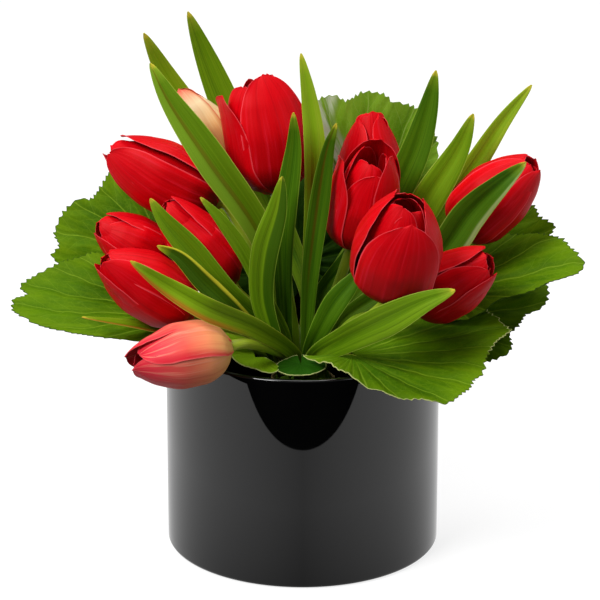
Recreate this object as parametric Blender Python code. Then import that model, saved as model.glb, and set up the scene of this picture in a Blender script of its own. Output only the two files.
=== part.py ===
"""Tulips in a vase: a hand-tied bunch of red tulips with a collar of broad toothed leaves, standing in a black glass cylinder.

All lengths in the tables are millimetres. +Z is up, +Y is the back of the arrangement, and the origin is the centre of the vase's base.
Every stem, bloom and leaf is a piece of its own. The stems stand on the vase's floor, run up close together through a tie just
under the rim, and spread out above it.
"""

import math

import bpy
import numpy as np

MM = 0.001

# ---------------------------------------------------------------- driving dimensions (mm)
VASE_RADIUS = 76.2
VASE_HEIGHT = 122.0
VASE_WALL = 3.4
VASE_FLOOR = 7.0
FOOT_GAP = 0.4          # between a stem's cut end and the vase floor
STEM_RADIUS = 3.2
STEM_GAP = 1.6          # between a stem's top and its bloom
NECK_HEIGHT = 92.0      # where the bunch is tied
NECK_RINGS = (4.9, 12.6)
TIE_HEIGHT = 9.0
TIE_THICK = 1.4
LEAF_THICK = 0.9
COLLAR_THICK = 0.9

# ---------------------------------------------------------------- blooms
# name: (base, tip, greatest radius, openness 0..1, neck slot, sway of the stem halfway up)
# a neck slot is (ring, turn): ring 0 is the inner one, and turn is in degrees from +X
BLOOMS = {
    "01": ((-48, 13, 193), (-107, 14, 225), 19.5, 0.35, (1, 144), (-3, -2, 0)),
    "02": ((-15, 13, 200), (-23, 17, 265), 23.0, 0.50, (0, 135), (0, -2, 0)),
    "03": ((-40, 36, 204), (-68, 38, 252), 15.0, 0.15, (1, 108), (-2, 0, 1)),
    "04": ((-75, 0, 163), (-112, -9, 188), 16.5, 0.25, (1, 180), (2, 0, 0)),
    "05": ((-60, -41, 149), (-108, -61, 187), 18.0, 0.35, (1, -144), (0, 0, 0)),
    "06": ((-39, -17, 156), (-76, -19, 204), 17.0, 0.25, (0, -135), (3, 2, 3)),
    "07": ((-39, -69, 139), (-91, -87, 135), 17.5, 0.30, (1, -108), (-2, 1, 0)),
    "08": ((38, 36, 169), (38, 30, 241), 19.0, 0.30, (0, 50), (-8, -3, 9)),
    "09": ((27, 0, 171), (40, -20, 230), 19.5, 0.55, (0, -45), (0, 0, 0)),
    "10": ((46, -57, 164), (53, -87, 223), 23.5, 0.60, (1, -72), (-3, 4, 2)),
    "11": ((60, -37, 147), (99, -51, 182), 18.5, 0.40, (1, -36), (0, 3, 12)),
    "12": ((85, -2, 178), (126, -6, 220), 20.0, 0.45, (1, -4), (0, -1, 0)),
    "13": ((-45, 78, 138), (-76, 108, 168), 18.0, 0.35, (1, 72), (5, 2, 1)),
    "14": ((44, 92, 158), (58, 122, 198), 19.0, 0.45, (1, 38), (3, 3, -2)),
}

# ---------------------------------------------------------------- tulip leaves
# name: (midline from foot to tip, greatest width, side the blade faces, fold in degrees, roll at the tip in degrees)
VIEW = (0.0, -0.94, 0.34)
LEAVES = {
    "01": (((2, 28, 138), (-18, 56, 180), (-37, 65, 219), (-53, 65, 259), (-64, 60, 290)), 25, VIEW, 22, 0),
    "02": (((-10, 30, 134), (-32, 47, 180), (-54, 54, 217), (-75, 52, 253), (-88, 44, 282)), 20, VIEW, 20, 0),
    "03": (((-8, -8, 133), (-22, -10, 182), (-48, -10, 223), (-71, -2, 255), (-83, 4, 276)), 24, VIEW, 28, 0),
    "04": (((1, 6, 139), (4, 3, 192), (4, -2, 229), (2, 1, 256), (-2, 6, 281)), 18, VIEW, 20, 0),
    "05": (((-9, -22, 128), (-11, -20, 170), (-9, -18, 202), (-5, -16, 233), (-5, -16, 254)), 15, VIEW, 20, 0),
    "06": (((-14, -32, 125), (-22, -35, 153), (-21, -36, 180), (-14, -34, 205), (-11, -32, 223)), 18, VIEW, 18, 0),
    "07": (((2, -22, 125), (4, -24, 163), (8, -24, 198), (13, -24, 233), (18, -26, 251)), 14, VIEW, 24, 0),
    "08": (((8, 10, 137), (40, 14, 177), (59, 14, 215), (68, 16, 243), (73, 18, 268)), 21, VIEW, 20, 0),
    "09": (((16, -2, 129), (51, 3, 169), (71, 1, 203), (85, 2, 227), (93, 2, 248)), 22, VIEW, 18, 0),
    "10": (((24, 16, 135), (71, 18, 179), (93, 20, 210), (110, 22, 237), (126, 24, 258)), 16, VIEW, 24, 0),
    "11": (((25, -8, 134), (70, -14, 166), (91, -22, 198), (106, -32, 218), (120, -32, 231)), 26, VIEW, 30, 0),
    "12": (((6, -34, 119), (23, -58, 139), (44, -83, 159), (64, -95, 174), (80, -94, 180)), 21, VIEW, 16, 0),
    "13": (((-4, -35, 121), (-24, -60, 145), (-50, -80, 164), (-73, -80, 178), (-91, -82, 192)), 14, VIEW, 24, 0),
    "14": (((-18, -22, 131), (-42, -32, 158), (-60, -37, 182), (-74, -40, 200), (-82, -40, 213)), 17, VIEW, 20, 0),
    "15": (((-19, -26, 122), (-37, -47, 151), (-53, -51, 169), (-66, -53, 184), (-78, -54, 191)), 14, VIEW, 24, 0),
    "16": (((-10, -26, 133), (-22, -30, 157), (-31, -32, 178), (-43, -36, 198), (-55, -38, 213)), 10, VIEW, 20, 0),
    "17": (((-19, -37, 125), (-42, -45, 135), (-72, -45, 139), (-99, -49, 145), (-119, -56, 151)), 8, (0, -0.3, 0.95), 20, 0),
    "18": (((3, -28, 119), (9, -36, 136), (17, -38, 152), (27, -38, 166)), 14, VIEW, 16, 0),
    "19": (((-20, 40, 121), (-34, 66, 153), (-50, 86, 180), (-70, 98, 206)), 21, (0, 0.94, 0.34), 22, 0),
    "20": (((9, 42, 122), (17, 76, 158), (19, 97, 189), (16, 112, 218)), 22, (0, 0.94, 0.34), 22, 0),
}

# ---------------------------------------------------------------- collar leaves
# name: (petiole from the neck to the blade, middle tip of the blade, blade normal, outline as (turn, reach), cup)
COLLAR = {
    "a": (((-19, -8, 112), (-36, -14, 128), (-61, -21, 138)), (-158, -30, 148), (0.05, -0.45, 0.89),
          ((-120, 12), (-95, 16), (-70, 24), (-45, 31), (-22, 55), (0, 98), (22, 86), (45, 68), (70, 44), (95, 20), (120, 12)), 0),
    "b": (((-17, 10, 112), (-48, 16, 136), (-75, 20, 156)), (-137, 22, 176), (0.2, -0.75, 0.62),
          ((-120, 12), (-95, 17), (-70, 30), (-45, 42), (-22, 57), (0, 63), (22, 60), (45, 62), (70, 43), (95, 20), (120, 12)), 0),
    "c": (((4, 24, 116), (20, 40, 150), (37, 54, 169)), (39, 62, 243), (0, -0.98, 0.2),
          ((-120, 12), (-95, 18), (-70, 32), (-45, 46), (-22, 75), (0, 76), (22, 70), (45, 56), (70, 37), (95, 19), (120, 12)), 0),
    "d": (((17, 14, 112), (56, 18, 140), (93, 14, 158)), (140, 12, 179), (-0.1, -0.8, 0.6),
          ((-120, 12), (-95, 17), (-70, 29), (-45, 41), (-22, 47), (0, 52), (22, 40), (45, 33), (70, 25), (95, 17), (120, 12)), 0),
    "e": (((19, 4, 104), (44, 2, 118), (60, -4, 134), (76, -8, 148)), (155, -22, 170), (-0.08, -0.5, 0.86),
          ((-120, 12), (-95, 18), (-70, 34), (-45, 49), (-22, 71), (0, 84), (22, 35), (45, 29), (70, 23), (95, 16), (120, 12)), 0),
    "f": (((19, -4, 102), (46, -6, 116), (73, -4, 132)), (129, -6, 139), (-0.1, -0.4, 0.91),
          ((-120, 12), (-95, 19), (-70, 38), (-45, 57), (-22, 69), (0, 55), (22, 49), (45, 47), (70, 32), (95, 18), (120, 12)), 0),
    "g": (((10, -24, 110), (16, -38, 122), (27, -52, 127.6)), (89, -87, 122.6), (-0.06, -0.22, 0.97),
          ((-120, 12), (-95, 20), (-70, 64), (-45, 89), (-22, 75), (0, 69), (22, 51), (45, 27), (70, 22), (95, 17), (120, 12)), 0),
    "h": (((-2, -26, 110), (-2, -38, 117), (-2, -46, 121)), (0, -66, 124), (0, -0.2, 0.98),
          ((-120, 11), (-80, 15), (-45, 19), (0, 21), (45, 19), (80, 15), (120, 11)), 0),
    "i": (((-12, -25, 110), (-22, -38, 119), (-26, -46, 124)), (-40, -58, 128), (0, -0.3, 0.95),
          ((-120, 8), (-80, 11), (-45, 14), (0, 19), (45, 14), (80, 11), (120, 8)), 0),
    "j": (((7, 25, 109), (3, 38, 127), (-3, 48, 146)), (-6, 84, 216), (0, -0.89, 0.46),
          ((-120, 26), (-95, 34), (-70, 42), (-45, 46), (-22, 51), (0, 58), (22, 51), (45, 46), (70, 42), (95, 34), (120, 26)), 0),
}


# ---------------------------------------------------------------- helpers
def start_clean():
    for obj in list(bpy.data.objects):
        bpy.data.objects.remove(obj, do_unlink=True)


def material(name, colour, roughness, metallic=0.0):
    mat = bpy.data.materials.get(name)
    if mat is None:
        mat = bpy.data.materials.new(name)
        mat.use_nodes = True
        shader = mat.node_tree.nodes["Principled BSDF"]
        shader.inputs["Base Color"].default_value = (*colour, 1.0)
        shader.inputs["Roughness"].default_value = roughness
        shader.inputs["Metallic"].default_value = metallic
        mat.diffuse_color = (*colour, 1.0)
    return mat


def add(name, verts_mm, faces, mat, smooth=40.0):
    mesh = bpy.data.meshes.new(name)
    mesh.from_pydata([tuple(float(c) * MM for c in v) for v in verts_mm], [], faces)
    mesh.validate()
    mesh.update()
    mesh.shade_smooth()
    mesh.set_sharp_from_angle(angle=math.radians(smooth))
    mesh.materials.append(mat)
    obj = bpy.data.objects.new(name, mesh)
    bpy.context.scene.collection.objects.link(obj)
    return obj


def unit(v):
    v = np.asarray(v, float)
    return v / np.linalg.norm(v)


def curve(points, count):
    """count + 1 points along a smooth curve through the given points, evenly spaced by length."""
    p = np.asarray(points, float)
    p = np.vstack([2 * p[0] - p[1], p, 2 * p[-1] - p[-2]])
    fine = []
    for i in range(1, len(p) - 2):
        a, b, c, d = p[i - 1], p[i], p[i + 1], p[i + 2]
        for t in np.linspace(0, 1, 24, endpoint=False):
            fine.append(0.5 * (2 * b + (c - a) * t + (2 * a - 5 * b + 4 * c - d) * t * t + (3 * b - a - 3 * c + d) * t ** 3))
    fine.append(p[-2])
    fine = np.array(fine)
    run = np.concatenate([[0], np.cumsum(np.linalg.norm(np.diff(fine, axis=0), axis=1))])
    at = np.linspace(0, run[-1], count + 1)
    return np.stack([np.interp(at, run, fine[:, k]) for k in range(3)], 1)


def tangents(line):
    t = np.gradient(line, axis=0)
    return t / np.linalg.norm(t, axis=1)[:, None]


def tube(line, radii, sides):
    """A closed round solid along a line."""
    tan = tangents(line)
    side = unit(np.cross(tan[0], (0.31, 0.95, 0.1)))
    verts, faces = [], []
    for p, t, r in zip(line, tan, radii):
        side = unit(side - t * np.dot(side, t))
        up = np.cross(t, side)
        for k in range(sides):
            a = 2 * math.pi * k / sides
            verts.append(p + r * (math.cos(a) * side + math.sin(a) * up))
    n = len(line)
    for i in range(n - 1):
        for k in range(sides):
            a, b = i * sides + k, i * sides + (k + 1) % sides
            faces.append((a, b, b + sides, a + sides))
    faces.append(tuple(reversed(range(sides))))
    faces.append(tuple((n - 1) * sides + k for k in range(sides)))
    return verts, faces


def plate(front, back):
    """A closed solid between two grids of points (rows, columns, 3)."""
    rows, cols = front.shape[:2]
    verts = list(front.reshape(-1, 3)) + list(back.reshape(-1, 3))
    off = rows * cols
    faces = []
    for i in range(rows - 1):
        for j in range(cols - 1):
            a, b, c, d = i * cols + j, i * cols + j + 1, (i + 1) * cols + j + 1, (i + 1) * cols + j
            faces.append((a, b, c, d))
            faces.append((off + d, off + c, off + b, off + a))
    for i in range(rows - 1):
        a, d = i * cols, (i + 1) * cols
        faces.append((a, d, off + d, off + a))
        b, c = i * cols + cols - 1, (i + 1) * cols + cols - 1
        faces.append((c, b, off + b, off + c))
    for j in range(cols - 1):
        a, b = j, j + 1
        faces.append((b, a, off + a, off + b))
        d, c = (rows - 1) * cols + j, (rows - 1) * cols + j + 1
        faces.append((d, c, off + c, off + d))
    return verts, faces


# ---------------------------------------------------------------- pieces
def vase(mat):
    """A plain turned cylinder: thick floor, straight wall, small rounds at the rim and the foot."""
    r, h, w, f = VASE_RADIUS, VASE_HEIGHT, VASE_WALL, VASE_FLOOR
    profile = [(r - 2.0, 0.0), (r - 0.5, 0.6), (r, 2.2), (r, h - 1.2), (r - 0.5, h - 0.25), (r - w / 2, h),
               (r - w + 0.5, h - 0.25), (r - w, h - 1.2), (r - w, f + 4.0), (r - w - 1.2, f + 1.2), (r - w - 4.0, f)]
    steps = 48
    verts, faces = [], []
    for k in range(steps):
        a = 2 * math.pi * k / steps
        verts += [(x * math.cos(a), x * math.sin(a), z) for x, z in profile]
    m = len(profile)
    for k in range(steps):
        n = (k + 1) % steps
        for i in range(m - 1):
            faces.append((k * m + i, n * m + i, n * m + i + 1, k * m + i + 1))
    faces.append(tuple(reversed([k * m for k in range(steps)])))
    faces.append(tuple(k * m + m - 1 for k in range(steps)))
    return add("vase", verts, faces, mat, 50)


def slot(ring, turn, height):
    a = math.radians(turn)
    r = NECK_RINGS[ring]
    return (r * math.cos(a), r * math.sin(a), height)


def stem(name, bloom, mat):
    base, tip, _, _, (ring, turn), sway = bloom
    axis = unit(np.subtract(tip, base))
    end = np.array(base) - axis * STEM_GAP
    foot, neck = slot(ring, turn, VASE_FLOOR + FOOT_GAP), slot(ring, turn, NECK_HEIGHT)
    low, high = slot(ring, turn, NECK_HEIGHT * 0.55), slot(ring, turn, NECK_HEIGHT + 12)
    reach = np.linalg.norm(end - np.array(high))
    bend = end - axis * 0.3 * reach
    middle = 0.45 * np.array(high) + 0.55 * bend + np.array(sway)
    line = curve([foot, low, neck, high, middle, end - axis * 8.0, end], 13)
    radii = np.linspace(STEM_RADIUS, STEM_RADIUS - 0.4, len(line))
    return add("stem_" + name, *tube(line, radii, 6), mat)


def bloom(name, shape, mat):
    """The outer form of the six closed petals, with three shallow lobes."""
    base, tip, radius, opened = shape[:4]
    base, tip = np.array(base, float), np.array(tip, float)
    axis = unit(tip - base)
    side = unit(np.cross(axis, (0.2, 1.0, 0.1)))
    up = np.cross(axis, side)
    length = np.linalg.norm(tip - base)
    profile = [(0.0, 0.20), (0.08, 0.55), (0.24, 0.90), (0.45, 1.0), (0.68, 0.93), (0.87, 0.68 + 0.2 * opened), (0.97, 0.36 + 0.4 * opened)]
    sides = 12
    verts, faces = [], []
    for v, r in profile:
        for k in range(sides):
            a = 2 * math.pi * k / sides
            lobe = 1.0 + 0.04 * math.cos(3 * a) * min(1.0, 2 * v)
            verts.append(base + axis * length * v + radius * r * lobe * (math.cos(a) * side + math.sin(a) * up))
    n = len(profile)
    for i in range(n - 1):
        for k in range(sides):
            a, b = i * sides + k, i * sides + (k + 1) % sides
            faces.append((a, b, b + sides, a + sides))
    faces.append(tuple(reversed(range(sides))))
    verts.append(base + axis * length * 0.99)
    top = (n - 1) * sides
    for k in range(sides):
        faces.append((top + k, top + (k + 1) % sides, n * sides))
    return add("bloom_" + name, verts, faces, mat)


def leaf(name, shape, mat):
    """A long blade, folded along its middle, narrow at the foot and pointed at the tip."""
    points, width, facing, fold, roll = shape
    line = curve(points, 9)
    tan = tangents(line)
    s = np.linspace(0, 1, len(line))
    half = 0.5 * width * (0.34 + 0.66 * np.sin(np.pi * np.clip(s / 0.84, 0, 1) ** 0.9 / 2) ** 1.2)
    half = np.minimum(half, 0.5 * width * np.clip((1.0 - s) / 0.42, 0, 1) ** 0.72 + 0.5)
    columns = np.array([-1.0, 0.0, 1.0])
    front, back = [], []
    for p, t, h, q in zip(line, tan, half, s):
        out = np.asarray(facing, float)
        out = unit(out - t * np.dot(out, t))
        across = np.cross(t, out)
        turn = math.radians(roll * q)
        out, across = math.cos(turn) * out + math.sin(turn) * across, math.cos(turn) * across - math.sin(turn) * out
        f = math.radians(fold) * (0.6 + 0.4 * (1 - q))
        row = [p + across * h * c * math.cos(f) + out * abs(c) * h * math.sin(f) for c in columns]
        thick = np.array([0.6, 1.0, 0.6]) * LEAF_THICK / 2
        front.append([x + out * k for x, k in zip(row, thick)])
        back.append([x - out * k for x, k in zip(row, thick)])
    front, back = np.array(front), np.array(back)
    return add("leaf_" + name, *plate(front, back), mat)


def collar_leaf(name, shape, mat):
    """A broad toothed blade on a slender stalk, as one thin solid."""
    stalk, middle, normal, outline, cup = shape
    centre = np.array(stalk[-1], float)
    along = unit(np.array(middle, float) - centre)
    up = np.asarray(normal, float)
    up = unit(up - along * np.dot(up, along))
    across = np.cross(along, up)
    turns = np.radians([o[0] for o in outline])
    reach = [o[1] for o in outline]
    count = 13
    theta = np.linspace(turns[0], turns[-1], count)
    rho = np.interp(theta, turns, reach) * (1 + 0.02 * np.cos(np.arange(count) * math.pi))
    line = curve(stalk, 4)[:-1]
    tan = tangents(line)
    front, back = [], []
    w = np.linspace(-1.5, 1.5, count)
    for p, t in zip(line, tan):
        n = unit(up - t * np.dot(up, t))
        a = np.cross(t, n)
        front.append([p + a * x + n * 1.2 for x in w])
        back.append([p + a * x - n * 1.2 for x in w])
    for f in (0.06, 0.3, 0.55, 0.8, 1.0):
        # near the stalk the fan is narrower, so that the blade's lobes stay clear of it
        fan = theta * (0.72 + 0.28 * min(1.0, f / 0.55))
        far = np.maximum(f * rho, 2.4)
        ring = [centre + along * r * math.cos(th) + across * r * math.sin(th) + up * cup * f * f * math.cos(th / 2) for th, r in zip(fan, far)]
        k = COLLAR_THICK / 2 * (1.6 - 0.8 * f)
        front.append([x + up * k for x in ring])
        back.append([x - up * k for x in ring])
    front, back = np.array(front), np.array(back)
    return add("collar_leaf_" + name, *plate(front, back), mat)


def tie(mat):
    """A flat band round the bunch."""
    r0 = NECK_RINGS[1] + STEM_RADIUS + 0.6
    r1 = r0 + TIE_THICK
    z0, z1 = NECK_HEIGHT - TIE_HEIGHT / 2, NECK_HEIGHT + TIE_HEIGHT / 2
    steps = 32
    verts, faces = [], []
    for k in range(steps):
        a = 2 * math.pi * k / steps
        for r, z in ((r0, z0), (r1, z0), (r1, z1), (r0, z1)):
            verts.append((r * math.cos(a), r * math.sin(a), z))
    for k in range(steps):
        n = (k + 1) % steps
        for i in range(4):
            j = (i + 1) % 4
            faces.append((k * 4 + i, n * 4 + i, n * 4 + j, k * 4 + j))
    return add("tie_band", verts, faces, mat)


def main():
    start_clean()
    glass = material("black_glass", (0.006, 0.006, 0.007), 0.05)
    petal = material("red_petal", (0.62, 0.005, 0.012), 0.42)
    stalk = material("stem_green", (0.16, 0.30, 0.03), 0.45)
    blade = material("leaf_green", (0.09, 0.22, 0.015), 0.42)
    broad = material("collar_leaf_green", (0.12, 0.25, 0.015), 0.45)
    raffia = material("tie_raffia", (0.45, 0.33, 0.18), 0.8)
    vase(glass)
    tie(raffia)
    for name, shape in BLOOMS.items():
        stem(name, shape, stalk)
        bloom(name, shape, petal)
    for name, shape in LEAVES.items():
        leaf(name, shape, blade)
    for name, shape in COLLAR.items():
        collar_leaf(name, shape, broad)


main()
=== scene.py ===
"""Looks for the tulips in a vase: fine petals, leaves, stems, vase, stage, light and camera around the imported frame."""
import math

import bpy
import numpy as np
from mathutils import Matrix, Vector


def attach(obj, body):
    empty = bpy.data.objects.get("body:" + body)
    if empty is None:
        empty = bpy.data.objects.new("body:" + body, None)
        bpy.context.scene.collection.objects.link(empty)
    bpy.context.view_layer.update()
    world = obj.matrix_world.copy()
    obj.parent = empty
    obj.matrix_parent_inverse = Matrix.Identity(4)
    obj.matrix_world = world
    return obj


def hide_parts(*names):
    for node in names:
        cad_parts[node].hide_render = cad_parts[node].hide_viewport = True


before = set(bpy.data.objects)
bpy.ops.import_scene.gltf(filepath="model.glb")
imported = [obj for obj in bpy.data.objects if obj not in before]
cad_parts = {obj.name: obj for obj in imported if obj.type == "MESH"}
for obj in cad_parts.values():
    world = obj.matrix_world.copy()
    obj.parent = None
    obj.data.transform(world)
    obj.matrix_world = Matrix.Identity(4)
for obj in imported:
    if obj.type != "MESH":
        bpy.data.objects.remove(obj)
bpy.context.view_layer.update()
MM = 0.001
EYE = np.array((0.0, -1800.0, 785.0))

# ------------------------------------------------------------------ the arrangement, in millimetres, as in the solid model
VASE_RADIUS, VASE_HEIGHT, VASE_WALL, VASE_FLOOR = 76.2, 122.0, 3.4, 7.0
FOOT_GAP, STEM_RADIUS, NECK_HEIGHT, NECK_RINGS = 0.4, 3.2, 92.0, (4.9, 12.6)
TIE_HEIGHT = 9.0
VIEW = (0.0, -0.94, 0.34)

# name: (base, tip, greatest radius, neck slot, sway of the stem)
BLOOMS = {
    "01": ((-48, 13, 193), (-107, 14, 225), 19.5, (1, 144), (-3, -2, 0)),
    "02": ((-15, 13, 200), (-23, 17, 265), 23.0, (0, 135), (0, -2, 0)),
    "03": ((-40, 36, 204), (-68, 38, 252), 15.0, (1, 108), (-2, 0, 1)),
    "04": ((-75, 0, 163), (-112, -9, 188), 16.5, (1, 180), (2, 0, 0)),
    "05": ((-60, -41, 149), (-108, -61, 187), 18.0, (1, -144), (0, 0, 0)),
    "06": ((-39, -17, 156), (-76, -19, 204), 17.0, (0, -135), (3, 2, 3)),
    "07": ((-39, -69, 139), (-91, -87, 135), 17.5, (1, -108), (-2, 1, 0)),
    "08": ((38, 36, 169), (38, 30, 241), 19.0, (0, 50), (-8, -3, 9)),
    "09": ((27, 0, 174), (40, -20, 231), 19.5, (0, -45), (0, 0, 0)),
    "10": ((47, -57, 168), (54, -87, 223), 23.5, (1, -72), (-3, 4, 2)),
    "11": ((60, -37, 151), (100, -52, 182), 17.4, (1, -36), (0, 3, 12)),
    "12": ((84.5, 1, 180), (126, -4, 223), 19.4, (1, -4), (0, -1, 0)),
    "13": ((-45, 78, 138), (-76, 108, 168), 18.0, (1, 72), (5, 2, 1)),
    "14": ((44, 92, 158), (58, 122, 198), 19.0, (1, 38), (3, 3, -2)),
}

# petals of each bloom, the ones that lie further out come later:
# (turn round the axis in degrees, 0 towards the front; layer 0 outer, 1 inner; length; half width; radius at the tip; edge curl; bluntness; lean)
P = {
    "01": ((-170, 0, 0.96, 1.10, 0.28, 0, 1), (150, 1, 0.90, 1.0, 0.18, 0, 1), (30, 1, 0.99, 1.05, 0.26, 0, 0.9), (-62, 1, 0.93, 1.0, 0.22, 0, 1),
           (-104, 0, 1.01, 1.12, 0.30, 0.01, 1.1), (88, 0, 0.95, 0.96, 0.50, 0.05, 0.65), (-30, 0, 0.98, 1.0, 0.36, 0.05, 0.8)),
    "02": ((180, 0, 0.97, 1.15, 0.26, 0, 0.9), (128, 1, 1.0, 1.0, 0.30, 0, 1), (-120, 1, 0.97, 1.0, 0.50, 0, 1), (20, 1, 0.93, 1.0, 0.30, 0, 1),
           (98, 0, 0.99, 1.2, 0.34, 0.01, 0.75), (-50, 0, 0.95, 0.78, 0.60, 0.02, 0.6), (20, 0, 1.04, 1.08, 0.46, 0.05, 0.85, -0.04), (-72, 0, 0.90, 0.92, 1.02, 0.03, 0.66)),
    "03": ((180, 0, 0.98, 1.1, 0.2, 0, 1), (110, 1, 0.93, 1.0, 0.16, 0, 1), (-120, 1, 0.93, 1.0, 0.16, 0, 1),
           (64, 0, 0.95, 1.15, 0.2, 0, 1), (-95, 0, 0.97, 1.15, 0.22, 0, 1), (-20, 0, 1.0, 1.15, 0.14, 0, 1)),
    "04": ((180, 0, 1.0, 1.1, 0.32, 0, 1), (-140, 1, 0.93, 1.0, 0.25, 0, 1), (24, 1, 1.02, 1.0, 0.28, 0, 0.9), (-95, 0, 0.98, 1.15, 0.40, 0, 1),
           (92, 0, 0.97, 1.10, 0.50, 0.03, 1), (-10, 0, 0.94, 1.02, 0.34, 0.02, 0.9)),
    "05": ((180, 0, 0.96, 1.1, 0.3, 0, 1), (140, 1, 0.92, 1.0, 0.2, 0, 1), (8, 1, 0.92, 1.0, 0.2, 0, 1), (-106, 0, 1.0, 1.15, 0.36, 0.02, 1.05),
           (58, 0, 0.96, 1.22, 0.28, 0.01, 1), (-36, 0, 0.98, 1.2, 0.28, 0.01, 1)),
    "06": ((180, 0, 0.98, 1.1, 0.3, 0, 1), (-140, 1, 0.95, 1.0, 0.25, 0, 1), (34, 1, 0.98, 1.0, 0.28, 0, 0.9), (-98, 0, 0.98, 1.15, 0.34, 0, 1),
           (90, 0, 0.99, 1.10, 0.38, 0.02, 1), (-8, 0, 0.87, 1.12, 0.36, 0.02, 0.9)),
    "07": ((175, 0, 0.96, 1.1, 0.3, 0, 1), (-125, 1, 0.88, 1.0, 0.2, 0, 1), (-4, 1, 0.90, 1.0, 0.24, 0, 1), (122, 0, 1.03, 1.25, 0.44, 0, 0.85),
           (-50, 0, 1.01, 1.08, 0.24, 0.01, 1), (54, 0, 0.93, 1.20, 0.44, 0.03, 0.8)),
    "08": ((180, 0, 0.97, 1.2, 0.18, 0, 0.6), (-120, 1, 0.97, 1.0, 0.3, 0, 0.9), (125, 1, 0.97, 1.0, 0.3, 0, 0.9), (16, 1, 1.0, 1.15, 0.14, 0, 0.6),
           (78, 0, 0.98, 1.18, 0.28, 0, 0.8), (-66, 0, 0.94, 1.10, 0.42, 0.0, 0.8)),
    "09": ((178, 0, 1.07, 1.2, 0.60, 0, 0.65), (-125, 1, 1.0, 1.0, 0.66, 0, 0.8), (108, 1, 1.0, 0.95, 0.40, 0, 0.8), (-22, 1, 0.95, 1.0, 0.42, 0, 0.6),
           (76, 0, 1.03, 1.05, 0.42, 0.02, 0.9), (16, 0, 0.88, 1.05, 0.54, 0.04, 0.75), (-70, 0, 0.91, 0.98, 0.92, 0.04, 0.6)),
    "10": ((178, 0, 1.03, 1.2, 0.50, 0, 0.7), (-128, 1, 1.0, 1.0, 0.46, 0, 0.8), (128, 1, 1.0, 1.0, 0.46, 0, 0.8), (40, 1, 1.02, 0.95, 0.34, 0, 0.75),
           (-26, 1, 1.06, 0.95, 0.26, 0, 0.75), (100, 0, 1.01, 1.02, 0.46, 0.04, 0.6), (-110, 0, 1.06, 1.04, 0.38, 0.05, 0.85), (3, 0, 1.0, 1.10, 0.52, 0.05, 0.80, 0.06)),
    "11": ((180, 0, 1.0, 1.15, 0.42, 0, 1), (-130, 1, 0.98, 1.0, 0.4, 0, 1), (130, 1, 0.94, 1.0, 0.4, 0, 1), (-30, 1, 1.02, 1.0, 0.36, 0, 0.6),
           (-86, 0, 1.03, 1.08, 0.46, 0.03, 0.75), (92, 0, 1.0, 1.12, 0.50, 0, 1), (34, 0, 0.98, 1.1, 0.44, 0.02, 0.95)),
    "12": ((180, 0, 1.0, 1.15, 0.38, 0, 1), (-130, 1, 0.98, 1.0, 0.34, 0, 1), (130, 1, 0.96, 1.0, 0.36, 0, 1), (-24, 1, 0.95, 0.95, 0.24, 0, 0.9),
           (-80, 0, 0.99, 1.18, 0.30, 0, 0.9), (70, 0, 0.99, 1.15, 0.38, 0, 0.95), (-4, 0, 0.97, 1.1, 0.30, 0.01, 0.95)),
    "13": ((120, 1, 0.95, 1.0, 0.24, 0, 1), (0, 1, 0.95, 1.0, 0.24, 0, 1), (-120, 1, 0.95, 1.0, 0.24, 0, 1),
           (180, 0, 1.0, 1.18, 0.28, 0, 1), (62, 0, 0.98, 1.2, 0.28, 0.01, 1), (-60, 0, 0.97, 1.18, 0.28, 0.01, 1)),
    "14": ((100, 1, 0.96, 1.0, 0.3, 0, 1), (-20, 1, 0.96, 1.0, 0.3, 0, 1), (-140, 1, 0.96, 1.0, 0.3, 0, 1),
           (160, 0, 1.0, 1.18, 0.36, 0.01, 0.95), (40, 0, 0.98, 1.18, 0.34, 0.01, 0.95), (-80, 0, 0.98, 1.18, 0.36, 0.01, 0.95)),
}

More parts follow.
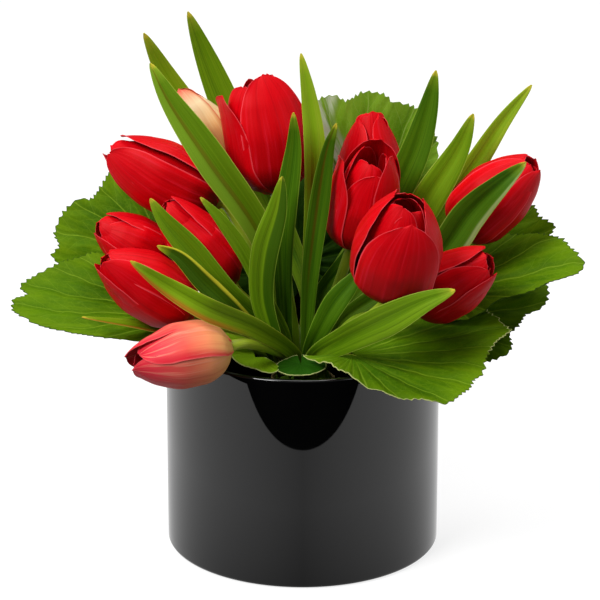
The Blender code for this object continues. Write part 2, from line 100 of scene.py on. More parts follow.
# name: (midline from foot to tip, greatest width, side the blade faces, fold, roll, colour family)
LEAVES = {
    "01": (((2, 28, 138), (-18, 56, 180), (-37, 65, 219), (-53, 65, 259), (-64, 60, 290)), 22, VIEW, 22, 0, "mid"),
    "02": (((-10, 30, 134), (-32, 47, 180), (-54, 54, 217), (-75, 52, 253), (-88, 44, 282)), 20, VIEW, 20, 0, "bright"),
    "03": (((-8, -8, 133), (-22, -10, 182), (-48, -10, 223), (-71, -2, 255), (-83, 4, 276)), 24, VIEW, 28, 0, "creased"),
    "04": (((2, 6, 139), (6, 4, 192), (6.5, -1, 229), (3.5, 2, 256), (-1, 6, 281)), 14.5, VIEW, 20, 0, "bright"),
    "05": (((-9, -22, 128), (-11, -20, 170), (-9, -18, 202), (-5, -16, 233), (-5, -16, 254)), 15, VIEW, 20, 0, "deep"),
    # leaf 06 carries painted shade on one half of its blade
    "06": (((-14, -32, 125), (-22, -35, 153), (-21, -36, 180), (-14, -34, 205), (-11, -32, 223)), 18, VIEW, 18, 0, "halves"),
    "07": (((2, -22, 125), (4, -24, 163), (8, -24, 198), (13, -24, 233), (18, -26, 251)), 14, VIEW, 24, 0, "brown"),
    "08": (((8, 10, 137), (40, 14, 177), (59, 14, 215), (68, 16, 243), (73, 18, 268)), 21, VIEW, 20, 0, "deep"),
    "09": (((16, -2, 129), (51, 3, 169), (71, 1, 203), (85, 2, 227), (93, 2, 248)), 22, VIEW, 18, 0, "mid"),
    "10": (((24, 16, 135), (71, 18, 179), (93, 20, 210), (110, 22, 237), (126, 24, 258)), 16, VIEW, 24, 0, "bright"),
    "11": (((25, -8, 134), (70, -14, 166), (91, -22, 198), (106, -32, 218), (120, -32, 231)), 26, VIEW, 30, 0, "striped"),
    "12": (((6, -34, 119), (23, -58, 139), (44, -83, 159), (64, -95, 174), (80, -94, 180)), 21, VIEW, 16, 0, "mid"),
    "13": (((-4, -35, 121), (-24, -60, 145), (-50, -80, 164), (-73, -80, 178), (-91, -82, 192)), 16, VIEW, 24, 0, "blush"),
    "14": (((-18, -22, 131), (-42, -32, 158), (-60, -37, 182), (-74, -40, 200), (-82, -40, 213)), 17, VIEW, 20, 0, "mid"),
    "15": (((-19, -26, 122), (-37, -47, 151), (-53, -51, 169), (-66, -53, 184), (-78, -54, 191)), 14, VIEW, 24, 0, "edged"),
    "16": (((-10, -26, 133), (-22, -30, 157), (-31, -32, 178), (-43, -36, 198), (-55, -38, 213)), 10, VIEW, 20, 0, "mid"),
    "17": (((-19, -37, 125), (-42, -45, 135), (-72, -45, 139), (-99, -49, 145), (-119, -56, 151)), 10, (0, -0.3, 0.95), 20, 0, "blush"),
    "18": (((3, -28, 119), (9, -36, 136), (17, -38, 152), (27, -37, 165), (33, -35, 173)), 15, VIEW, 16, 0, "deep"),
    "19": (((-20, 40, 121), (-34, 66, 153), (-50, 86, 180), (-70, 98, 206)), 21, (0, 0.94, 0.34), 22, 0, "mid"),
    "20": (((9, 42, 122), (17, 76, 158), (19, 97, 189), (16, 112, 218)), 22, (0, 0.94, 0.34), 22, 0, "mid"),
}

# name: (petiole, middle tip, normal, outline as (turn, reach), vein spread, colour family)
COLLAR = {
    "a": (((-19, -8, 112), (-36, -14, 128), (-61, -21, 138)), (-158, -30, 148), (0.05, -0.45, 0.89),
          ((-120, 12), (-95, 16), (-70, 22), (-50, 27), (-34, 36), (-22, 54), (-14, 74), (-7, 90), (-2, 99), (3, 99), (6, 92), (9, 96), (17, 89),
           (24, 83), (36, 74), (46, 64), (70, 44), (95, 20), (120, 12)), 11, "broad"),
    "b": (((-17, 10, 112), (-48, 16, 136), (-75, 20, 156)), (-137, 22, 176), (0.2, -0.75, 0.62),
          ((-120, 12), (-95, 17), (-70, 30), (-45, 44), (-25, 56), (-15, 66), (-10, 62), (-3, 65), (4, 65), (12, 64), (20, 62), (24, 57), (34, 59),
           (45, 63), (60, 54), (78, 34), (95, 20), (120, 12)), 17, "broad"),
    "c": (((4, 24, 116), (20, 40, 150), (37, 54, 169)), (39, 62, 243), (0, -0.98, 0.2),
          ((-120, 12), (-95, 18), (-70, 32), (-48, 44), (-39, 53), (-31, 68), (-26, 75), (-17, 75), (-12, 71), (-3, 75), (5, 74), (10, 70), (19, 70),
           (27, 66), (37, 62), (46, 54), (70, 37), (95, 19), (120, 12)), 20, "pale"),
    "d": (((17, 14, 112), (56, 18, 140), (93, 14, 158)), (140, 12, 179), (-0.1, -0.8, 0.6),
          ((-120, 12), (-95, 17), (-70, 30), (-48, 41), (-32, 44), (-20, 47), (-13, 46), (-7, 49), (-2, 52), (2, 49), (6, 44), (22, 39), (45, 33),
           (70, 25), (95, 17), (120, 12)), 20, "broad"),
    "e": (((19, 4, 104), (44, 2, 118), (60, -4, 134), (76, -8, 148)), (155, -22, 170), (-0.08, -0.5, 0.86),
          ((-120, 12), (-95, 18), (-70, 34), (-45, 49), (-22, 67), (-16, 73), (-10, 75), (-6, 78), (1, 82), (4, 79), (7, 70), (9, 62), (14, 52),
           (23, 37), (45, 29), (70, 23), (95, 16), (120, 12)), 18, "broad"),
    "f": (((19, -4, 102), (46, -6, 116), (73, -4, 132)), (129, -6, 139), (-0.1, -0.4, 0.91),
          ((-120, 12), (-95, 19), (-70, 38), (-45, 60), (-31, 70), (-18, 67), (-11, 66), (-3, 63), (2, 58), (7, 50), (13, 49), (18, 48), (26, 46),
           (35, 51), (42, 52), (52, 46), (70, 32), (95, 18), (120, 12)), 18, "broad"),
    "g": (((10, -24, 110), (16, -38, 122), (27, -52, 127.6)), (89, -87, 122.6), (-0.06, -0.22, 0.97),
          ((-120, 12), (-95, 24), (-80, 60), (-69, 88), (-63, 89), (-57, 86), (-50, 86), (-43, 88), (-38, 84), (-33, 78), (-28, 75), (-17, 73),
           (-10, 73), (-5, 70), (4, 72), (15, 71), (21, 63), (24, 57), (31, 46), (43, 31), (59, 21), (85, 16), (112, 15), (145, 22), (155, 27)), 15, "front"),
    "h": (((-2, -26, 110), (-2, -38, 117), (-1, -49, 121)), (0, -61, 118), (0, -0.42, 0.91),
          ((-172, 9), (-130, 10), (-100, 13), (-75, 14), (-45, 12), (0, 10), (45, 12), (75, 14), (100, 13), (130, 10), (172, 9)), 22, "shade"),
    "i": (((-12, -25, 110), (-22, -38, 119), (-26, -46, 124)), (-40, -58, 126), (0, -0.3, 0.95),
          ((-165, 6), (-140, 10), (-115, 15), (-85, 17), (-45, 13), (0, 14), (45, 13), (80, 11), (120, 8)), 22, "small"),
    # j stands behind the bouquet, coloured near-black as painted shade
    "j": (((7, 25, 109), (3, 38, 127), (-3, 48, 146)), (-6, 84, 216), (0, -0.89, 0.46),
          ((-178, 17), (-160, 26), (-130, 40), (-100, 42), (-70, 44), (-45, 46), (-22, 51), (0, 58), (22, 51), (45, 46), (70, 44), (100, 40), (130, 38), (160, 26), (178, 17)), 20, "back"),
}


# ------------------------------------------------------------------ geometry helpers
def unit(v):
    v = np.asarray(v, float)
    return v / np.linalg.norm(v)


def curve(points, count):
    p = np.asarray(points, float)
    p = np.vstack([2 * p[0] - p[1], p, 2 * p[-1] - p[-2]])
    t = np.linspace(0, 1, 24, endpoint=False)[:, None]
    fine = []
    for i in range(1, len(p) - 2):
        a, b, c, d = p[i - 1], p[i], p[i + 1], p[i + 2]
        fine.append(0.5 * (2 * b + (c - a) * t + (2 * a - 5 * b + 4 * c - d) * t * t + (3 * b - a - 3 * c + d) * t ** 3))
    fine = np.vstack(fine + [p[-2][None]])
    run = np.concatenate([[0], np.cumsum(np.linalg.norm(np.diff(fine, axis=0), axis=1))])
    at = np.linspace(0, run[-1], count + 1)
    return np.stack([np.interp(at, run, fine[:, k]) for k in range(3)], 1)


def smooth_interp(x, xs, ys):
    """A smooth curve through the values, without overshoot (monotone cubic)."""
    xs, ys = np.asarray(xs, float), np.asarray(ys, float)
    h = np.diff(xs)
    s = np.diff(ys) / h
    m = np.zeros(len(xs))
    m[0], m[-1] = s[0], s[-1]
    for i in range(1, len(xs) - 1):
        if s[i - 1] * s[i] > 0:
            w1, w2 = 2 * h[i] + h[i - 1], h[i] + 2 * h[i - 1]
            m[i] = (w1 + w2) / (w1 / s[i - 1] + w2 / s[i])
    k = np.clip(np.searchsorted(xs, x, side="right") - 1, 0, len(h) - 1)
    t = (np.clip(x, xs[0], xs[-1]) - xs[k]) / h[k]
    return ((1 + 2 * t) * (1 - t) ** 2 * ys[k] + t * (1 - t) ** 2 * h[k] * m[k]
            + t * t * (3 - 2 * t) * ys[k + 1] + t * t * (t - 1) * h[k] * m[k + 1])


def tangents(line):
    t = np.gradient(line, axis=0)
    return t / np.linalg.norm(t, axis=1)[:, None]


def grid_normals(g):
    du, dv = np.gradient(g, axis=1), np.gradient(g, axis=0)
    n = np.cross(du, dv)
    length = np.linalg.norm(n, axis=2, keepdims=True)
    n = n / np.maximum(length, 1e-9)
    return n


class Shape:
    """Collects vertices, faces and per-vertex values (across, along, chance) for one object."""

    def __init__(self):
        self.v, self.f, self.a, self.m = [], [], [], []
        self.n = 0

    def add(self, verts, faces, values, slot=0):
        self.v.append(np.asarray(verts, float))
        self.f.append(np.asarray(faces, int) + self.n)
        self.a.append(np.asarray(values, float))
        self.m.append(np.full(len(faces), slot))
        self.n += len(verts)

    def plate(self, middle, thick, values, slot=0):
        """A thin closed solid about a grid of points; thick is a number or a (rows, cols) array."""
        rows, cols = middle.shape[:2]
        n = grid_normals(middle) * (np.broadcast_to(np.asarray(thick, float), (rows, cols))[..., None] / 2)
        verts = np.vstack([(middle + n).reshape(-1, 3), (middle - n).reshape(-1, 3)])
        off = rows * cols
        i, j = np.meshgrid(np.arange(rows - 1), np.arange(cols - 1), indexing="ij")
        a = (i * cols + j).ravel()
        b, c, d = a + 1, a + cols + 1, a + cols
        faces = [np.stack([a, b, c, d], 1), np.stack([d, c, b, a], 1) + off]
        i = np.arange(rows - 1)
        a, d = i * cols, (i + 1) * cols
        faces.append(np.stack([a, d, off + d, off + a], 1))
        b, c = a + cols - 1, d + cols - 1
        faces.append(np.stack([c, b, off + b, off + c], 1))
        j = np.arange(cols - 1)
        faces.append(np.stack([j + 1, j, off + j, off + j + 1], 1))
        d = (rows - 1) * cols + j
        faces.append(np.stack([d, d + 1, off + d + 1, off + d], 1))
        val = np.vstack([values.reshape(-1, 3)] * 2)
        self.add(verts, np.vstack(faces), val, slot)

    def tube(self, line, radii, sides, chance=0.5, slot=0, ripple=0.0):
        tan = tangents(line)
        side = unit(np.cross(tan[0], (0.31, 0.95, 0.1)))
        verts, val = [], []
        ang = 2 * math.pi * np.arange(sides) / sides
        n = len(line)
        for q, (p, t, r) in enumerate(zip(line, tan, radii)):
            side = unit(side - t * np.dot(side, t))
            up = np.cross(t, side)
            rr = r * (1 + ripple * np.sin(3 * ang + 0.7 * q))
            verts.append(p + rr[:, None] * (np.cos(ang)[:, None] * side + np.sin(ang)[:, None] * up))
            val.append(np.stack([ang / (2 * math.pi), np.full(sides, q / (n - 1)), np.full(sides, chance)], 1))
        verts = np.vstack(verts + [line[:1], line[-1:]])
        val = np.vstack(val + [[[0.5, 0, chance]], [[0.5, 1, chance]]])
        i, k = np.meshgrid(np.arange(n - 1), np.arange(sides), indexing="ij")
        a, b = (i * sides + k).ravel(), (i * sides + (k + 1) % sides).ravel()
        faces = np.stack([a, b, b + sides, a + sides], 1)
        k = np.arange(sides)
        c0, c1 = n * sides, n * sides + 1
        cap0 = np.stack([(k + 1) % sides, k, np.full(sides, c0), np.full(sides, c0)], 1)
        cap1 = np.stack([(n - 1) * sides + k, (n - 1) * sides + (k + 1) % sides, np.full(sides, c1), np.full(sides, c1)], 1)
        self.add(verts, np.vstack([faces, cap0, cap1]), val, slot)

    def build(self, name, mats, smooth=50.0):
        verts = np.vstack(self.v) * MM
        faces = [tuple(dict.fromkeys(f)) for f in np.vstack(self.f).tolist()]
        val = np.vstack(self.a)
        slots = np.concatenate(self.m)
        mesh = bpy.data.meshes.new(name)
        mesh.from_pydata(verts.tolist(), [], faces)
        mesh.update()
        uv = mesh.uv_layers.new(name="plan")
        loops = np.zeros(len(mesh.loops), np.int32)
        mesh.loops.foreach_get("vertex_index", loops)
        uv.data.foreach_set("uv", val[loops, :2].astype(np.float32).ravel())
        ch = mesh.attributes.new("chance", "FLOAT", "POINT")
        ch.data.foreach_set("value", val[:, 2].astype(np.float32))
        for m in mats:
            mesh.materials.append(m)
        mesh.polygons.foreach_set("material_index", slots.astype(np.int32))
        mesh.shade_smooth()
        mesh.set_sharp_from_angle(angle=math.radians(smooth))
        obj = bpy.data.objects.new(name, mesh)
        bpy.context.scene.collection.objects.link(obj)
        return obj


# ------------------------------------------------------------------ shader helpers
class Nodes:
    def __init__(self, name):
        self.mat = bpy.data.materials.new(name)
        self.mat.use_nodes = True
        self.t = self.mat.node_tree
        self.bsdf = self.t.nodes["Principled BSDF"]

    def put(self, kind, **ins):
        n = self.t.nodes.new(kind)
        for k, v in ins.items():
            self.set(n, k, v)
        return n

    def set(self, node, key, value):
        key = int(key[1:]) if key[0] == "i" and key[1:].isdigit() else key.replace("_", " ")
        sock = node.inputs[key]
        if isinstance(value, bpy.types.NodeSocket):
            self.t.links.new(value, sock)
        else:
            sock.default_value = value

    def math(self, op, a, b=0.0, clamp=False):
        n = self.t.nodes.new("ShaderNodeMath")
        n.operation = op
        n.use_clamp = clamp
        self.set(n, "i0", a)
        self.set(n, "i1", b)
        return n.outputs[0]

    def mix(self, factor, a, b, kind="MIX"):
        n = self.t.nodes.new("ShaderNodeMix")
        n.data_type = "RGBA"
        n.blend_type = kind
        self.set(n, "i0", factor)
        self.set(n, "i6", a)
        self.set(n, "i7", b)
        return n.outputs[2]

    def ramp(self, factor, stops, how="LINEAR"):
        n = self.t.nodes.new("ShaderNodeValToRGB")
        n.color_ramp.interpolation = how
        el = n.color_ramp.elements
        while len(el) > 1:
            el.remove(el[-1])
        el[0].position, el[0].color = stops[0][0], rgba(stops[0][1])
        for p, c in stops[1:]:
            e = el.new(p)
            e.color = rgba(c)
        self.set(n, "i0", factor)
        return n.outputs[0]

    def uvw(self, name, sx, sy, w=None, offset=0.0):
        """(across * sx, along * sy, chance * w) as a vector."""
        uv = self.t.nodes.new("ShaderNodeUVMap")
        uv.uv_map = name
        sep = self.put("ShaderNodeSeparateXYZ", Vector=uv.outputs[0])
        ch = self.t.nodes.new("ShaderNodeAttribute")
        ch.attribute_name = "chance"
        comb = self.put("ShaderNodeCombineXYZ", X=self.math("MULTIPLY", sep.outputs[0], sx), Y=self.math("MULTIPLY", sep.outputs[1], sy),
                        Z=self.math("MULTIPLY_ADD", ch.outputs["Fac"], w or 0.0))
        comb_in = comb.inputs["Z"].links[0].from_node
        comb_in.inputs[2].default_value = offset
        return sep.outputs[0], sep.outputs[1], comb.outputs[0], ch.outputs["Fac"]

    def noise(self, vector, scale, detail=3.0, rough=0.5):
        n = self.put("ShaderNodeTexNoise", Vector=vector, Scale=scale, Detail=detail, Roughness=rough)
        return n.outputs["Fac"]

    def step(self, value, lo, hi):
        n = self.t.nodes.new("ShaderNodeMapRange")
        n.interpolation_type = "SMOOTHSTEP"
        self.set(n, "i0", value)
        n.inputs[1].default_value, n.inputs[2].default_value = lo, hi
        return n.outputs[0]

    def bump(self, height, strength, distance):
        b = self.put("ShaderNodeBump", Height=height)
        b.inputs["Strength"].default_value = strength
        b.inputs["Distance"].default_value = distance
        self.t.links.new(b.outputs[0], self.bsdf.inputs["Normal"])

    def finish(self, colour, rough, specular=0.3, coat=0.0, coat_rough=0.3, sheen=0.0, sub=0.0):
        self.set(self.bsdf, "Base_Color", colour)
        self.set(self.bsdf, "Roughness", rough)
        self.bsdf.inputs["Specular IOR Level"].default_value = specular
        self.bsdf.inputs["Coat Weight"].default_value = coat
        self.bsdf.inputs["Coat Roughness"].default_value = coat_rough
        self.bsdf.inputs["Sheen Weight"].default_value = sheen
        return self.mat


def rgba(c):
    return (c[0], c[1], c[2], 1.0)


def petal_material(name, stops, edge, edge_in, streak, streak_sheen_colour, spec=0.08, dark=(0.20, 0.0, 0.003), rim=(0.84, 0.07, 0.09)):
    """Colour runs along the petal, with fine lines along it that also carry a painted pinkish sheen, a paler rim drawn
    as a painted highlight, and a soft satin surface.
    """
    k = Nodes(name)
    u, v, vec, ch = k.uvw("plan", 22.0, 1.2, 9.0)
    colour = k.ramp(v, stops)
    side = k.math("ABSOLUTE", k.math("SUBTRACT", u, 0.5))
    wide = k.uvw("plan", 4.0, 0.8, 23.0, 3.0)[2]
    lines = k.noise(vec, 1.0, 5.0, 0.62)
    patch = k.noise(wide, 1.0, 2.0, 0.5)
    inner = k.step(k.math("ADD", side, k.math("MULTIPLY", k.math("SUBTRACT", patch, 0.5), 0.30)), edge_in[0], edge_in[1])
    colour = k.mix(inner, colour, rgba(edge))
    # painted sheen: the fine lines are lifted toward a pale pinkish tint, standing for soft highlights along the petal
    # as well as its streaks
    colour = k.mix(k.math("MULTIPLY", k.step(lines, 0.50, 0.72), streak), colour, rgba(streak_sheen_colour))
    colour = k.mix(k.math("MULTIPLY", k.step(lines, 0.52, 0.30), 0.24), colour, rgba(dark))
    colour = k.mix(k.math("MULTIPLY", k.step(k.math("ABSOLUTE", k.math("SUBTRACT", u, 0.5)), 0.020, 0.004), 0.20), colour, rgba(dark))
    # painted highlight: a thin pale pinkish line along the petal's edges, standing for light catching them
    colour = k.mix(k.math("MULTIPLY", k.step(side, 0.474, 0.496), 0.8), colour, rgba(rim))
    k.bump(k.math("ADD", lines, k.math("MULTIPLY", patch, 0.8)), 0.24, 0.0010)
    rough = k.math("ADD", 0.38, k.math("MULTIPLY", lines, 0.16))
    return k.finish(colour, rough, spec)


def leaf_material(name, foot, middle, upper, tip, vein, rim, blush=0.0, band=None, fold=0.0):
    """Parallel veins along the blade, a thin pale rim and a yellowed tip; band = (from, to, colour, strength) across the blade."""
    k = Nodes(name)
    u, v, vec, ch = k.uvw("plan", 34.0, 1.1, 11.0)
    colour = k.ramp(v, ((0.0, foot), (0.22, middle), (0.62, upper), (0.93, upper), (0.978, tip), (0.990, (0.74, 0.60, 0.05))))
    lines = k.noise(vec, 1.0, 4.0, 0.6)
    wide = k.uvw("plan", 3.0, 1.7, 19.0, 5.0)[2]
    patch = k.noise(wide, 1.0, 3.0, 0.5)
    side = k.math("ABSOLUTE", k.math("SUBTRACT", u, 0.5))
    colour = k.mix(k.math("MULTIPLY", k.step(patch, 0.38, 0.66), 0.55), colour, rgba(vein))
    colour = k.mix(k.math("MULTIPLY", k.step(lines, 0.50, 0.72), 0.55), colour, rgba(vein))
    colour = k.mix(k.math("MULTIPLY", k.step(lines, 0.50, 0.28), 0.45), colour, rgba(tuple(0.35 * c for c in middle)))
    if band:
        lo, hi, tint, much = band
        where = k.step(k.math("ADD", u, k.math("MULTIPLY", k.math("SUBTRACT", patch, 0.5), 0.10)), lo, hi)
        colour = k.mix(k.math("MULTIPLY", where, much), colour, rgba(tint))
    if fold:
        crease = k.step(k.math("ABSOLUTE", k.math("SUBTRACT", u, 0.40)), 0.13, 0.0)
        colour = k.mix(k.math("MULTIPLY", k.math("MULTIPLY", crease, k.step(v, 0.30, 0.50)), fold), colour, rgba((0.16, 0.065, 0.004)))
    if blush:
        reach = k.math("MULTIPLY", k.step(k.math("SUBTRACT", u, k.math("MULTIPLY", patch, 0.20)), 0.20, -0.04), k.step(v, 0.42, 0.66))
        colour = k.mix(k.math("MULTIPLY", reach, blush), colour, rgba((0.42, 0.13, 0.012)))
    colour = k.mix(k.math("MULTIPLY", k.step(side, 0.468, 0.492), 0.8), colour, rgba(rim))
    k.bump(lines, 0.35, 0.0006)
    rough = k.math("ADD", 0.40, k.math("MULTIPLY", patch, 0.18))
    return k.finish(colour, rough, 0.07)


def broad_material(name, body, deep, pale, vein, rim, spread, net=0.10, painted_sheen=0.0):
    """Veins fan out from the stalk, with side veins between them and a crinkled surface.
    across = turn in radians, along = reach in metres, chance = distance in from the rim in millimetres."""
    k = Nodes(name)
    uv = k.t.nodes.new("ShaderNodeUVMap")
    uv.uv_map = "plan"
    sep = k.put("ShaderNodeSeparateXYZ", Vector=uv.outputs[0])
    turn, reach = sep.outputs[0], sep.outputs[1]
    edge = k.t.nodes.new("ShaderNodeAttribute")
    edge.attribute_name = "chance"
    edge = edge.outputs["Fac"]
    pos = k.put("ShaderNodeCombineXYZ", X=k.math("MULTIPLY", k.math("COSINE", turn), reach), Y=k.math("MULTIPLY", k.math("SINE", turn), reach)).outputs[0]
    warp = k.math("SUBTRACT", k.noise(pos, 24.0, 2.0), 0.5)
    gap = math.radians(spread)
    t = k.math("DIVIDE", k.math("ADD", turn, k.math("MULTIPLY", warp, 0.22)), gap)
    cell = k.math("FLOOR", k.math("ADD", t, 0.5))
    off = k.math("MULTIPLY", k.math("SUBTRACT", t, cell), gap)
    d = k.math("MULTIPLY", reach, k.math("ABSOLUTE", k.math("SINE", off)))
    s = k.math("MULTIPLY", reach, k.math("COSINE", off))
    hub = k.step(reach, 0.004, 0.022)
    main = k.math("MULTIPLY", k.step(k.math("SUBTRACT", d, k.math("MULTIPLY", k.math("SUBTRACT", 0.06, reach), 0.004)), 0.00044, 0.00010), hub)
    groove = k.math("MULTIPLY", k.step(d, 0.0030, 0.0006), hub)
    side_sign = k.math("SIGN", off)
    run = k.math("ADD", k.math("SUBTRACT", s, k.math("MULTIPLY", d, 1.5)), k.math("ADD", k.math("MULTIPLY", cell, 0.0043), k.math("MULTIPLY", side_sign, 0.0031)))
    per = k.math("DIVIDE", k.math("ADD", run, k.math("MULTIPLY", warp, 0.012)), 0.0125)
    f = k.math("ABSOLUTE", k.math("SUBTRACT", k.math("FRACT", per), 0.5))
    branch = k.math("MULTIPLY", k.step(f, 0.030, 0.0), k.step(reach, 0.012, 0.03))
    cells = k.put("ShaderNodeTexVoronoi", Vector=pos, Scale=330.0)
    cells.feature = "DISTANCE_TO_EDGE"
    cells = k.step(cells.outputs["Distance"], 0.08, 0.0)
    fan = k.put("ShaderNodeCombineXYZ", X=k.math("MULTIPLY", turn, 15.0), Y=k.math("MULTIPLY", reach, 22.0), Z=0.4).outputs[0]
    rays = k.noise(fan, 1.0, 4.0, 0.6)
    fine = k.noise(pos, 150.0, 4.0, 0.6)
    big = k.noise(pos, 20.0, 3.0, 0.55)
    colour = k.mix(k.step(big, 0.36, 0.66), rgba(deep), rgba(body))
    colour = k.mix(k.math("MULTIPLY", k.step(rays, 0.46, 0.74), 0.55), colour, rgba(pale))
    colour = k.mix(k.math("MULTIPLY", k.step(rays, 0.50, 0.30), 0.40), colour, rgba(deep))
    colour = k.mix(k.math("MULTIPLY", k.step(fine, 0.42, 0.75), 0.22), colour, rgba(pale))
    colour = k.mix(k.math("MULTIPLY", k.step(edge, 16.0, 1.0), 0.35), colour, rgba(pale))
    colour = k.mix(k.math("MULTIPLY", groove, 0.35), colour, rgba(deep))
    colour = k.mix(k.math("MULTIPLY", cells, net), colour, rgba(vein))
    colour = k.mix(k.math("MULTIPLY", branch, 0.28), colour, rgba(vein))
    colour = k.mix(k.math("MULTIPLY", main, 0.50), colour, rgba(vein))
    if painted_sheen:
        # painted sheen: a whitish-grey patch on one side of the blade, standing for light glancing off it
        shine = k.math("MULTIPLY", k.step(k.math("ADD", turn, k.math("MULTIPLY", warp, 0.5)), -0.22, -0.36), k.step(rays, 0.36, 0.54))
        colour = k.mix(k.math("MULTIPLY", shine, painted_sheen), colour, rgba((0.50, 0.58, 0.42)))
    if isinstance(rim, dict):
        # the margin is pale where it runs back towards the stalk, and green round the tip
        back = k.step(k.math("ABSOLUTE", k.math("ADD", turn, 0.07)), 0.36, 0.46)
        colour = k.mix(k.step(edge, 0.55, 0.25), colour, k.mix(back, rgba(rim["tip"]), rgba(rim["back"])))
    else:
        colour = k.mix(k.step(edge, 0.50, 0.22), colour, rgba(rim))
    height = k.math("ADD", k.math("MULTIPLY", fine, 0.25), k.math("SUBTRACT", k.math("MULTIPLY", f, 0.8), k.math("MULTIPLY", groove, 0.9)))
    height = k.math("ADD", height, k.math("MULTIPLY", rays, 0.9))
    k.bump(height, 0.42, 0.0010)
    rough = k.math("ADD", 0.46, k.math("MULTIPLY", fine, 0.2))
    return k.finish(colour, rough, 0.035)


RED = ((0.0, (0.22, 0.07, 0.008)), (0.05, (0.26, 0.006, 0.002)), (0.20, (0.40, 0.0, 0.002)), (0.55, (0.58, 0.0, 0.003)), (0.85, (0.62, 0.0, 0.004)), (1.0, (0.62, 0.002, 0.006)))
RED_M = petal_material("tulip_red", RED, (0.68, 0.0, 0.004), (0.30, 0.48), 0.45, (0.72, 0.016, 0.040))
SALMON = ((0.0, (0.70, 0.42, 0.12)), (0.14, (0.82, 0.40, 0.14)), (0.34, (0.86, 0.25, 0.11)), (0.56, (0.85, 0.11, 0.08)), (0.80, (0.82, 0.045, 0.065)), (1.0, (0.62, 0.004, 0.03)))
SALMON_M = petal_material("tulip_salmon", SALMON, (0.72, 0.012, 0.035), (0.36, 0.56), 0.70, (0.88, 0.34, 0.22), 0.12, (0.60, 0.03, 0.03), (0.8, 0.12, 0.12))
CREAM = ((0.0, (0.66, 0.34, 0.07)), (0.25, (0.72, 0.34, 0.08)), (0.55, (0.80, 0.50, 0.18)), (0.82, (0.82, 0.62, 0.36)), (0.94, (0.78, 0.26, 0.14)), (1.0, (0.62, 0.01, 0.02)))
CREAM_M = petal_material("tulip_cream", CREAM, (0.50, 0.10, 0.02), (0.34, 0.52), 0.5, (0.82, 0.66, 0.34), 0.12, (0.55, 0.22, 0.05), (0.7, 0.12, 0.06))
LEAF_M = {
    "mid": leaf_material("tulip_leaf_mid", (0.18, 0.27, 0.02), (0.060, 0.155, 0.002), (0.125, 0.255, 0.004), (0.28, 0.38, 0.02), (0.20, 0.35, 0.008), (0.38, 0.50, 0.06)),
    "deep": leaf_material("tulip_leaf_deep", (0.10, 0.20, 0.010), (0.024, 0.085, 0.001), (0.045, 0.130, 0.002), (0.19, 0.30, 0.010), (0.095, 0.210, 0.004), (0.28, 0.42, 0.04)),
    "bright": leaf_material("tulip_leaf_bright", (0.24, 0.35, 0.02), (0.15, 0.29, 0.004), (0.19, 0.34, 0.006), (0.36, 0.45, 0.02), (0.29, 0.42, 0.02), (0.46, 0.56, 0.06)),
    "blush": leaf_material("tulip_leaf_blush", (0.17, 0.28, 0.02), (0.100, 0.210, 0.002), (0.170, 0.300, 0.004), (0.30, 0.40, 0.02), (0.22, 0.35, 0.008), (0.50, 0.52, 0.06), blush=0.85),
    # painted sheen: the band lightens one side of the blade to a paler green, as if light caught it
    "creased": leaf_material("tulip_leaf_creased", (0.14, 0.23, 0.01), (0.085, 0.165, 0.002), (0.095, 0.195, 0.003), (0.26, 0.38, 0.02), (0.16, 0.29, 0.008), (0.40, 0.46, 0.06),
                             band=(0.36, 0.28, (0.17, 0.30, 0.016), 0.7), fold=0.42),
    # painted shade: the band darkens one half of the blade to deep green, as the side turned away from the light
    "halves": leaf_material("tulip_leaf_halves", (0.15, 0.25, 0.010), (0.085, 0.185, 0.002), (0.130, 0.260, 0.004), (0.24, 0.36, 0.01), (0.20, 0.34, 0.008), (0.30, 0.44, 0.04),
                            band=(0.52, 0.62, (0.012, 0.055, 0.001), 0.80)),
    "edged": leaf_material("tulip_leaf_edged", (0.05, 0.12, 0.004), (0.018, 0.055, 0.001), (0.030, 0.080, 0.001), (0.36, 0.38, 0.01), (0.055, 0.130, 0.003), (0.55, 0.56, 0.05),
                           band=(0.80, 0.90, (0.56, 0.55, 0.03), 0.9)),
    "striped": leaf_material("tulip_leaf_striped", (0.12, 0.20, 0.010), (0.050, 0.105, 0.002), (0.036, 0.115, 0.003), (0.19, 0.32, 0.010), (0.070, 0.17, 0.006), (0.30, 0.40, 0.06),
                             band=(0.84, 0.92, (0.26, 0.36, 0.12), 0.9)),
    "brown": leaf_material("tulip_leaf_brown", (0.10, 0.20, 0.010), (0.024, 0.080, 0.001), (0.040, 0.115, 0.002), (0.19, 0.30, 0.010), (0.075, 0.175, 0.003), (0.20, 0.34, 0.03), fold=0.45),
}
BROAD = dict(body=(0.078, 0.176, 0.001), deep=(0.040, 0.110, 0.001), pale=(0.140, 0.245, 0.003), vein=(0.22, 0.34, 0.02), rim=(0.04, 0.09, 0.005))
